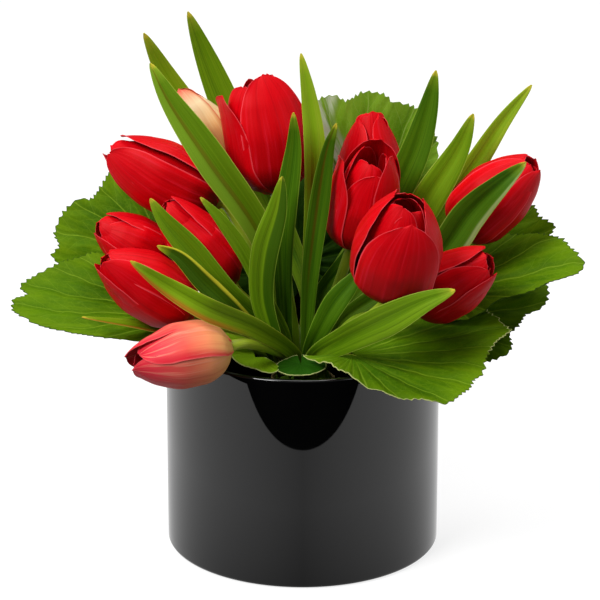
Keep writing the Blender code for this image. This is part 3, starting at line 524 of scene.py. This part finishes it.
KINDS = {
    "broad": BROAD,
    "front": dict(BROAD, rim={"tip": (0.10, 0.16, 0.01), "back": (0.56, 0.60, 0.22)}),
    "pale": dict(body=(0.15, 0.31, 0.012), deep=(0.085, 0.22, 0.004), pale=(0.21, 0.37, 0.03), vein=(0.30, 0.46, 0.09), rim=(0.20, 0.34, 0.05), painted_sheen=0.85),
    "shade": dict(body=(0.012, 0.065, 0.002), deep=(0.008, 0.04, 0.001), pale=(0.02, 0.09, 0.003), vein=(0.03, 0.11, 0.005), rim=(0.50, 0.55, 0.20), net=0.02),
    # painted shade: near-black greens for the leaf behind the bouquet, standing for the deep shadow there
    "back": dict(body=(0.018, 0.060, 0.002), deep=(0.010, 0.035, 0.001), pale=(0.032, 0.088, 0.003), vein=(0.05, 0.13, 0.006), rim=(0.03, 0.06, 0.005)),
    "small": dict(body=(0.14, 0.27, 0.004), deep=(0.09, 0.20, 0.003), pale=(0.20, 0.34, 0.008), vein=(0.24, 0.38, 0.02), rim=(0.50, 0.56, 0.20), net=0.03),
}
BROAD_M = {}


def broad(kind, spread):
    if (kind, spread) not in BROAD_M:
        BROAD_M[(kind, spread)] = broad_material(f"collar_{kind}_{spread}", spread=spread, **KINDS[kind])
    return BROAD_M[(kind, spread)]


def stem_material():
    k = Nodes("tulip_stem")
    u, v, vec, ch = k.uvw("plan", 9.0, 5.0, 11.0)
    lines = k.noise(vec, 2.2, 4.0, 0.6)
    colour = k.ramp(v, ((0.0, (0.34, 0.42, 0.14)), (0.02, (0.16, 0.28, 0.03)), (0.5, (0.10, 0.24, 0.012)), (0.8, (0.22, 0.36, 0.012)), (1.0, (0.34, 0.44, 0.02))))
    colour = k.mix(k.math("MULTIPLY", k.step(lines, 0.45, 0.75), 0.5), colour, rgba((0.40, 0.52, 0.04)))
    colour = k.mix(k.math("MULTIPLY", k.step(lines, 0.48, 0.25), 0.4), colour, rgba((0.06, 0.16, 0.005)))
    k.bump(lines, 0.3, 0.0005)
    return k.finish(colour, k.math("ADD", 0.36, k.math("MULTIPLY", lines, 0.15)), 0.3)


def vase_material():
    k = Nodes("black_glass")
    geo = k.t.nodes.new("ShaderNodeTexCoord")
    wav = k.noise(geo.outputs["Object"], 9.0, 1.0)
    fine = k.noise(geo.outputs["Object"], 60.0, 2.0)
    colour = k.mix(fine, rgba((0.0012, 0.0012, 0.0014)), rgba((0.0020, 0.0020, 0.0022)))
    rough = k.math("ADD", 0.018, k.math("MULTIPLY", fine, 0.012))
    k.bump(wav, 0.02, 0.0004)
    m = k.finish(colour, rough, 0.5)
    k.bsdf.inputs["IOR"].default_value = 1.5
    return m


def raffia_material():
    k = Nodes("raffia")
    u, v, vec, ch = k.uvw("plan", 6.0, 160.0, 5.0)
    lines = k.noise(vec, 1.4, 4.0, 0.7)
    colour = k.mix(k.step(lines, 0.3, 0.7), rgba((0.30, 0.19, 0.07)), rgba((0.62, 0.47, 0.24)))
    k.bump(lines, 0.6, 0.0006)
    return k.finish(colour, 0.78, 0.25)


def pistil_material():
    k = Nodes("pistil")
    u, v, vec, ch = k.uvw("plan", 5.0, 4.0, 5.0)
    lines = k.noise(vec, 2.0, 3.0, 0.6)
    colour = k.mix(lines, rgba((0.34, 0.42, 0.08)), rgba((0.62, 0.62, 0.22)))
    k.bump(lines, 0.3, 0.0004)
    return k.finish(colour, 0.5, 0.3)


def anther_material():
    k = Nodes("anther")
    u, v, vec, ch = k.uvw("plan", 5.0, 9.0, 5.0)
    lines = k.noise(vec, 4.0, 3.0, 0.6)
    colour = k.mix(lines, rgba((0.010, 0.006, 0.010)), rgba((0.06, 0.03, 0.03)))
    k.bump(lines, 0.5, 0.0005)
    return k.finish(colour, 0.8, 0.2)


STEM_M, VASE_M, RAFFIA_M, PISTIL_M, ANTHER_M = stem_material(), vase_material(), raffia_material(), pistil_material(), anther_material()


# ------------------------------------------------------------------ pieces
def place(obj, slot_name, *nodes):
    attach(obj, "root")
    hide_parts(*nodes)
    return obj


def vase():
    r, h, w, f = VASE_RADIUS, VASE_HEIGHT, VASE_WALL, VASE_FLOOR
    prof = [(0.0, 0.6), (r * 0.5, 0.5), (r - 9.0, 0.35), (r - 6.0, 0.0)]
    for a in np.linspace(-90, 0, 9):
        prof.append((r - 2.4 + 2.4 * math.cos(math.radians(a)), 2.4 + 2.4 * math.sin(math.radians(a))))
    for z in np.linspace(8, h - 4, 12):
        prof.append((r, z))
    for a in np.linspace(0, 90, 7):
        prof.append((r - 1.1 + 1.1 * math.cos(math.radians(a)), h - 1.1 + 1.1 * math.sin(math.radians(a))))
    for a in np.linspace(90, 180, 7):
        prof.append((r - w + 1.1 + 1.1 * math.cos(math.radians(a)), h - 1.1 + 1.1 * math.sin(math.radians(a))))
    for z in np.linspace(h - 4, f + 8, 10):
        prof.append((r - w, z))
    for a in np.linspace(0, -90, 7):
        prof.append((r - w - 4 + 4 * math.cos(math.radians(a)), f + 4 + 4 * math.sin(math.radians(a))))
    prof += [(r * 0.5, f), (0.0, f)]
    prof = np.array(prof)
    steps = 224
    ang = 2 * math.pi * np.arange(steps) / steps
    ring = prof[1:-1]
    m = len(ring)
    verts = np.stack([np.outer(np.cos(ang), ring[:, 0]), np.outer(np.sin(ang), ring[:, 0]), np.tile(ring[:, 1], (steps, 1))], 2).reshape(-1, 3)
    verts = np.vstack([verts, [(0, 0, prof[0, 1]), (0, 0, prof[-1, 1])]])
    k, i = np.meshgrid(np.arange(steps), np.arange(m - 1), indexing="ij")
    a, b = (k * m + i).ravel(), (((k + 1) % steps) * m + i).ravel()
    faces = np.stack([a, b, b + 1, a + 1], 1)
    k = np.arange(steps)
    n = (k + 1) % steps
    c0, c1 = np.full(steps, steps * m), np.full(steps, steps * m + 1)
    faces = np.vstack([faces, np.stack([n * m, k * m, c0, c0], 1), np.stack([k * m + m - 1, n * m + m - 1, c1, c1], 1)])
    val = np.zeros((len(verts), 3))
    s = Shape()
    s.add(verts, faces, val)
    place(s.build("black_vase", [VASE_M], 60), "vase_black_glass", "vase")


def slot(ring, turn, height):
    a = math.radians(turn)
    r = NECK_RINGS[ring]
    return (r * math.cos(a), r * math.sin(a), height)


def stem(name, shape, chance):
    base, tip, _, (ring, turn), sway = shape
    axis = unit(np.subtract(tip, base))
    end = np.array(base, float) - axis * 1.6
    foot, neck = slot(ring, turn, VASE_FLOOR + FOOT_GAP), slot(ring, turn, NECK_HEIGHT)
    low, high = slot(ring, turn, NECK_HEIGHT * 0.55), slot(ring, turn, NECK_HEIGHT + 12)
    reach = np.linalg.norm(end - np.array(high))
    bend = end - axis * 0.3 * reach
    middle = 0.45 * np.array(high) + 0.55 * bend + np.array(sway)
    line = curve([foot, low, neck, high, middle, end - axis * 8.0, end + axis * 2.6], 90)
    s = np.linspace(0, 1, len(line))
    radii = STEM_RADIUS - 0.35 * s + 0.12 * np.sin(9 * s + 6 * chance)
    radii += 1.2 * np.clip((s - 0.965) / 0.035, 0, 1) ** 2
    radii[0] -= 0.35
    sh = Shape()
    sh.tube(line, radii, 20, chance, ripple=0.015)
    place(sh.build("tulip_stem_" + name, [STEM_M]), "stem_green", "stem_" + name)


def frame_of(base, tip):
    base, tip = np.array(base, float), np.array(tip, float)
    axis = unit(tip - base)
    front = EYE - 0.5 * (base + tip)
    front = unit(front - axis * np.dot(front, axis))
    return base, axis, np.linalg.norm(tip - base), front, np.cross(axis, front)


PROFILE_V = (0.0, 0.05, 0.14, 0.30, 0.50)
WIDTH_V = (0.0, 0.04, 0.12, 0.30, 0.52, 0.70, 0.84, 0.94, 0.985, 1.0)
WIDTH = (0.34, 0.58, 0.86, 1.0, 1.0, 0.90, 0.68, 0.39, 0.17, 0.02)


def tepal(sh, fr, R, spec, order, seed, slot_index=0):
    base, axis, L, front, right = fr
    turn, layer, length, width, tip_r, curl, blunt = spec[:7]
    lean = spec[7] if len(spec) > 7 else 0.0
    r = np.random.default_rng(seed)
    rows, cols = 42, 25
    v = 1 - (1 - np.linspace(0, 1, rows)) ** 1.12
    u = np.linspace(-1, 1, cols)
    u = np.sign(u) * np.abs(u) ** 0.9
    shrink = (0.75 + 0.020 * order) if layer else (0.852 + 0.029 * order)
    mid_r = 0.5 * (1 + tip_r) + 0.17 * (1 - tip_r)
    prof = smooth_interp(v, tuple(a / length for a in PROFILE_V) + (0.76, 1.0), (0.17, 0.50, 0.80, 0.985, 1.0, mid_r, tip_r)) * shrink
    z = L * length * v
    wid = smooth_interp(v, WIDTH_V, WIDTH)
    wid = np.where(v > 0.5, wid ** blunt, wid)
    half = wid * width * R * (0.86 if layer else 0.93)
    lift = 1.04 + (0.05 if layer else 0.13) * v
    bow = np.maximum(prof * R, 0.40 * R) * lift
    U, V = np.meshgrid(u, v)
    ang = np.clip(U * (half / bow)[:, None], -1.75, 1.75)
    rad = (prof * R - bow)[:, None] + bow[:, None] * np.cos(ang)
    side = bow[:, None] * np.sin(ang)
    top = np.clip((V - 0.55) / 0.45, 0, 1)
    # a rolled rim, a keel along the middle, and slow waves that die out at the foot
    ph = r.uniform(0, 6.28, 6)
    near = np.clip(wid / 0.45, 0, 1)[:, None]
    rad = rad + R * curl * 2.6 * near * np.abs(U) ** 3 * (V ** 3)
    rad = rad - 0.022 * R * np.exp(-(U / 0.07) ** 2) * np.sin(np.pi * V) ** 0.7
    rad = rad + 0.012 * R * np.cos(6.28 * U * 1.4) * np.sin(np.pi * V)
    rad = rad + 0.016 * R * np.sin(5 * V + ph[0] + 2.2 * U) * np.abs(U) ** 1.3 * V * near
    rad = rad + 0.008 * R * np.sin(13 * V + ph[1]) * np.abs(U) ** 4 * (V ** 0.5) * near
    side = side + 0.012 * R * np.sin(14 * V + ph[3]) * np.sign(U) * np.abs(U) ** 5 * V * near
    side = side + (lean + r.uniform(-0.012, 0.012)) * L * (V ** 2.2)
    zz = z[:, None] + 0.008 * L * np.sin(3 * U + ph[4]) * top
    # the very tip turns in a little
    rad = rad - 0.05 * R * np.clip((V - 0.9) / 0.1, 0, 1) ** 2
    t = math.radians(turn)
    out = math.cos(t) * front + math.sin(t) * right
    tang = -math.sin(t) * front + math.cos(t) * right
    grid = base + rad[..., None] * out + side[..., None] * tang + zz[..., None] * axis
    thick = (0.75 - 0.40 * np.abs(U) ** 2) * (1 - 0.35 * V)
    val = np.stack([0.5 + 0.5 * U, V, np.full_like(U, r.uniform(0, 1))], 2)
    sh.plate(grid, thick, val, slot_index)


def bloom(name, shape, seed):
    base, tip, R, _, _ = shape
    fr = frame_of(base, tip)
    sh = Shape()
    for i, spec in enumerate(P[name]):
        tepal(sh, fr, R, spec, i, seed * 100 + i)
    base, axis, L, front, right = fr
    # pistil with three lobes, and six stamens
    line = base + axis * np.linspace(0.5, 0.36 * L, 12)[:, None]
    sh.tube(line, np.interp(np.linspace(0, 1, 12), (0, 0.2, 0.8, 1), (2.0, 2.9, 2.5, 2.2)), 14, 0.3, 1)
    for k in range(3):
        a = 2.1 * k + 0.4
        d = math.cos(a) * front + math.sin(a) * right
        p = base + axis * (0.36 * L)
        sh.tube(np.array([p, p + d * 1.8 + axis * 1.4, p + d * 3.4 + axis * 0.6]), (1.5, 1.4, 0.7), 10, 0.6, 1)
    for k in range(6):
        a = 2 * math.pi * k / 6 + 0.2
        d = math.cos(a) * front + math.sin(a) * right
        p0 = base + axis * 2.0 + d * 2.6
        p1 = base + axis * (0.20 * L) + d * 5.4
        p2 = base + axis * (0.36 * L) + d * 6.4
        sh.tube(curve([p0, p0 * 0.5 + p1 * 0.5, p1], 6), np.full(7, 0.6), 8, 0.5, 1)
        sh.tube(curve([p1, p1 * 0.5 + p2 * 0.5, p2], 8), 1.25 * np.sin(np.linspace(0.35, 2.8, 9)) ** 0.5, 8, 0.5, 2)
    mat, slot_name = {"03": (CREAM_M, "petal_cream_orange"), "07": (SALMON_M, "petal_salmon")}.get(name, (RED_M, "petal_red"))
    place(sh.build("tulip_bloom_" + name, [mat, PISTIL_M, ANTHER_M], 60), slot_name, "bloom_" + name)


def leaf(name, shape, seed):
    points, width, facing, fold, roll, family = shape
    r = np.random.default_rng(seed)
    pts = [np.array(p, float) for p in points]
    foot = pts[0]
    root = np.array((foot[0] * 0.62, foot[1] * 0.62, foot[2] - 20.0))
    line = curve([root] + pts, 84)
    own = curve(points, 70)
    extra = np.linalg.norm(foot - root)
    total = np.linalg.norm(np.diff(own, axis=0), axis=1).sum()
    dist = np.linspace(0, extra + total, len(line))
    s = (dist - extra) / total
    q = np.clip(s, 0, 1)
    tan = tangents(line)
    half = 0.5 * width * (0.50 + 0.50 * np.sin(np.pi * np.clip(q / 0.84, 0, 1) ** 0.9 / 2) ** 1.2)
    tipw = 0.5 * width * np.clip((1.0 - q) / 0.40, 0, 1) ** 0.66 + 0.45
    half = 1.0 / (half ** -6.0 + tipw ** -6.0) ** (1 / 6.0)
    half = half * (1 - 0.35 * np.clip(-s / (extra / total), 0, 1))
    cols = 17
    c = np.linspace(-1, 1, cols)
    ph = r.uniform(0, 6.28, 4)
    rows = []
    for i, (p, t, h, k) in enumerate(zip(line, tan, half, q)):
        out = np.asarray(facing, float)
        out = unit(out - t * np.dot(out, t))
        across = np.cross(t, out)
        turn = math.radians(roll * k + 5.0 * math.sin(4 * k + ph[0]))
        out, across = math.cos(turn) * out + math.sin(turn) * across, math.cos(turn) * across - math.sin(turn) * out
        f = math.radians(1.3 * fold) * (0.7 + 0.3 * (1 - k))
        lift = (np.sqrt(c * c + 0.012) - 0.11) * h * math.sin(f) - 0.10 * h * c ** 4
        wave = 0.35 * np.sin(9 * k + ph[1]) * c * np.abs(c) + 0.25 * np.sin(17 * k + ph[2]) * np.abs(c) ** 3
        ribs = 0.10 * np.cos(c * 5 * math.pi)
        rows.append(p + np.outer(h * c * math.cos(f), across) + np.outer(lift + (wave + ribs) * min(1, h / 6), out))
    grid = np.array(rows)
    C, Q = np.meshgrid(c, dist / dist[-1])
    thick = (0.95 - 0.55 * np.abs(C) ** 2) * (1 - 0.3 * Q)
    val = np.stack([0.5 + 0.5 * C, Q, np.full_like(C, r.uniform(0, 1))], 2)
    sh = Shape()
    sh.plate(grid, thick, val)
    place(sh.build("tulip_leaf_" + name, [LEAF_M[family]], 60), "leaf_green", "leaf_" + name)


def collar_leaf(name, shape, seed):
    stalk, middle, normal, outline, spread, family = shape
    r = np.random.default_rng(seed)
    small = name in "hi"
    centre = np.array(stalk[-1], float)
    along = unit(np.array(middle, float) - centre)
    up = np.asarray(normal, float)
    up = unit(up - along * np.dot(up, along))
    across = np.cross(along, up)
    turns = np.radians([o[0] for o in outline])
    reach = np.array([o[1] for o in outline], float)
    cols = 161 if small else 411
    # columns evenly spaced along the rim
    th0 = np.linspace(turns[0], turns[-1], 2400)
    rh0 = smooth_interp(th0, turns, reach)
    x, y = rh0 * np.cos(th0), rh0 * np.sin(th0)
    run = np.concatenate([[0], np.cumsum(np.hypot(np.diff(x), np.diff(y)))])
    at = np.linspace(0, run[-1], cols)
    th = np.interp(at, run, th0)
    rho = np.interp(at, run, rh0)
    # pointed teeth, uneven in size: each rises slowly and falls back quickly
    pitch = 3.9
    wob = at / pitch + 0.55 * np.sin(at / 8.0 + r.uniform(0, 6)) + 0.25 * np.sin(at / 3.1 + r.uniform(0, 6))
    saw = np.mod(wob, 1.0)
    saw = np.where(saw < 0.70, saw / 0.70, (1 - saw) / 0.30) ** 1.25 - 0.4
    size = 0.45 + 0.95 * np.abs(np.sin(np.floor(wob) * 2.3 + r.uniform(0, 6)))
    keep = np.clip((rho - 0.42 * rho.max()) / (0.18 * rho.max()), 0, 1)
    tooth = (0.0 if small else 1.6) * saw * size * keep + (0 if small else 0.7) * np.sin(at / 9.5 + r.uniform(0, 6)) * keep
    fs = np.concatenate([np.linspace(0.015, 0.9, 21), (0.925, 0.95, 0.97, 0.985, 1.0)])
    T = th[None, :]
    F = fs[:, None]
    base_r = F * rho[None, :]
    RR = base_r + tooth[None, :] * F ** 9
    gap = math.radians(spread)
    cell = np.mod(T / gap + 0.5, 1.0) - 0.5
    fade = np.clip(base_r / 20.0, 0, 1)
    puck = np.cos(2 * math.pi * cell)
    h = -(0.1 if small else 0.50) * fade * puck
    run_s = base_r * np.cos(cell * gap) - 1.5 * base_r * np.abs(np.sin(cell * gap))
    h = h + 0.16 * fade * np.cos(2 * math.pi * run_s / 12.5 + 2 * np.floor(T / gap + 0.5))
    h = h + (1.3 if not small else 0.1) * F ** 2 * np.sin(3.1 * T + r.uniform(0, 6)) + (0.8 if not small else 0.05) * F ** 3 * np.sin(7.3 * T + r.uniform(0, 6))
    h = h + (0.45 if not small else 0.0) * F ** 6 * np.sin(at / 4.2 + r.uniform(0, 6))[None, :]
    h = h * np.clip(F / 0.1, 0, 1)
    grid = centre + (RR * np.cos(T))[..., None] * along + (RR * np.sin(T))[..., None] * across + h[..., None] * up
    val = np.stack([np.broadcast_to(T, RR.shape), RR * MM, (1 - F) * rho[None, :]], 2)
    sh = Shape()
    # the outline runs from one side of the stalk to the other, so that the plate's front looks along the normal
    sh.plate(grid, 0.7 - 0.25 * F + 0 * RR, val, 0)
    line = curve(stalk, 30)
    line = np.vstack([line, line[-1] + along * 2.5 + up * 0.1])
    thick = (1.4, 0.9, 0.4) if small else (1.7, 1.5, 0.6)
    sh.tube(line - up * (1.1 if small else 0.3), np.interp(np.linspace(0, 1, len(line)), (0, 0.8, 1), thick), 12, 0.4, 1)
    place(sh.build("broad_leaf_" + name, [broad(family, spread), STEM_M], 60), "collar_green", "collar_leaf_" + name)


def tie():
    r0, turns = NECK_RINGS[1] + STEM_RADIUS + 1.35, 6.0
    a = np.linspace(0, 2 * math.pi * turns, 420)
    z = NECK_HEIGHT - TIE_HEIGHT / 2 + 0.9 + (TIE_HEIGHT - 1.8) * a / a[-1] + 0.15 * np.sin(5.3 * a)
    r = r0 + 0.16 * np.sin(2.7 * a)
    line = np.stack([r * np.cos(a), r * np.sin(a), z], 1)
    sh = Shape()
    sh.tube(line, np.full(len(line), 0.68), 8, 0.5, ripple=0.1)
    place(sh.build("raffia_tie", [RAFFIA_M]), "raffia", "tie_band")


vase()
tie()
for i, (name, shape) in enumerate(BLOOMS.items()):
    stem(name, shape, (i * 0.37) % 1)
    bloom(name, shape, i + 11)
for i, (name, shape) in enumerate(LEAVES.items()):
    leaf(name, shape, i + 71)
for i, (name, shape) in enumerate(COLLAR.items()):
    collar_leaf(name, shape, i + 151)


# ------------------------------------------------------------------ stage, light and camera
def emission_plane(name, size, place_at, build):
    mesh = bpy.data.meshes.new(name)
    x, y = size
    mesh.from_pydata([(-x, -y, 0), (x, -y, 0), (x, y, 0), (-x, y, 0)], [], [(0, 1, 2, 3)])
    obj = bpy.data.objects.new(name, mesh)
    obj.location = place_at
    bpy.context.scene.collection.objects.link(obj)
    mesh.materials.append(build)
    return obj


k = Nodes("pale_floor")
k.finish(rgba((0.28, 0.28, 0.28)), 0.9, 0.0)
k.bsdf.inputs["Emission Color"].default_value = (1, 1, 1, 1)
k.bsdf.inputs["Emission Strength"].default_value = 0.80
floor = emission_plane("floor", (7.0, 7.0), (0, 0, -0.0003), k.mat)
floor.visible_glossy = False
floor.visible_diffuse = False

# what the polished glass mirrors: a white table top with a straight front edge, dark beyond it, with a painted shadow
# near the vase's foot and brighter off to the sides
mat = bpy.data.materials.new("table_mirror")
mat.use_nodes = True
nt = mat.node_tree
nt.nodes.clear()
out = nt.nodes.new("ShaderNodeOutputMaterial")
em = nt.nodes.new("ShaderNodeEmission")
nt.links.new(em.outputs[0], out.inputs[0])
geo = nt.nodes.new("ShaderNodeNewGeometry")
sep = nt.nodes.new("ShaderNodeSeparateXYZ")
nt.links.new(geo.outputs["Position"], sep.inputs[0])


def mnode(op, a, b=0.0, clamp=False):
    n = nt.nodes.new("ShaderNodeMath")
    n.operation, n.use_clamp = op, clamp
    for i, s in enumerate((a, b)):
        if isinstance(s, bpy.types.NodeSocket):
            nt.links.new(s, n.inputs[i])
        else:
            n.inputs[i].default_value = s
    return n.outputs[0]


edge = mnode("GREATER_THAN", sep.outputs[1], -0.277)
dist = mnode("SQRT", mnode("ADD", mnode("MULTIPLY", sep.outputs[0], sep.outputs[0]), mnode("MULTIPLY", sep.outputs[1], sep.outputs[1])))
# painted shadow: the mirrored table is dimmer close to the vase's foot, so the glass shows a darker reflection near its
# base
near = mnode("MULTIPLY", mnode("SUBTRACT", dist, 0.076), 9.0, True)
front = mnode("DIVIDE", mnode("ABSOLUTE", sep.outputs[0]), mnode("ADD", dist, 0.001))
level = mnode("ADD", mnode("MULTIPLY", near, 0.25), mnode("MULTIPLY", front, 0.55))
level = mnode("MULTIPLY", mnode("ADD", level, 0.36), edge)
nt.links.new(level, em.inputs["Strength"])
mirror = emission_plane("table_in_mirror", (3.0, 3.0), (0, 0, -0.0001), mat)
for what in ("visible_camera", "visible_diffuse", "visible_shadow", "visible_transmission", "visible_volume_scatter"):
    setattr(mirror, what, False)

world = bpy.data.worlds.new("studio")
bpy.context.scene.world = world
world.use_nodes = True
wt = world.node_tree
wt.nodes.clear()
wout = wt.nodes.new("ShaderNodeOutputWorld")
seen, lit = wt.nodes.new("ShaderNodeBackground"), wt.nodes.new("ShaderNodeBackground")
path, wmix = wt.nodes.new("ShaderNodeLightPath"), wt.nodes.new("ShaderNodeMixShader")
seen.inputs[0].default_value, seen.inputs[1].default_value = (1, 1, 1, 1), 1.0
lit.inputs[0].default_value, lit.inputs[1].default_value = (1, 1, 1, 1), 0.16
wt.links.new(path.outputs["Is Camera Ray"], wmix.inputs[0])
wt.links.new(lit.outputs[0], wmix.inputs[1])
wt.links.new(seen.outputs[0], wmix.inputs[2])
wt.links.new(wmix.outputs[0], wout.inputs[0])


def area(name, at, target, size, power, colour=(1, 1, 1)):
    data = bpy.data.lights.new(name, "AREA")
    data.shape, data.size, data.size_y, data.energy, data.color = "RECTANGLE", size[0], size[1], power, colour
    obj = bpy.data.objects.new(name, data)
    obj.location = at
    obj.rotation_mode = "QUATERNION"
    obj.rotation_quaternion = (Vector(target) - Vector(at)).to_track_quat("-Z", "Y")
    bpy.context.scene.collection.objects.link(obj)
    obj.visible_camera = False
    return obj


area("key", (-1.05, -1.15, 1.75), (0, 0, 0.18), (0.9, 0.9), 46)
area("fill", (1.7, -1.2, 1.0), (0, 0, 0.18), (1.4, 1.4), 7)
area("top", (0.15, 0.35, 2.1), (0, 0, 0.15), (1.3, 1.3), 25)
area("left_strip", (-1.6, 0.2, 0.5), (0, 0, 0.15), (0.5, 1.2), 4)
area("right_strip", (1.6, 0.2, 0.5), (0, 0, 0.15), (0.5, 1.2), 4)

scene = bpy.context.scene
scene.view_settings.view_transform = "Standard"
scene.view_settings.look = "None"
scene.view_settings.exposure = 0.0
scene.view_settings.gamma = 1.0

cam_data = bpy.data.cameras.new("camera")
cam_data.sensor_width = 36.0
cam_data.lens = 3443.6 * 36.0 / 600.0
cam_data.clip_start, cam_data.clip_end = 0.05, 50
cam = bpy.data.objects.new("camera", cam_data)
cam.location = (-0.00152, -1.8, 0.785)
cam.rotation_euler = (math.radians(90 - 19.69), 0, 0)
scene.collection.objects.link(cam)
scene.camera = cam
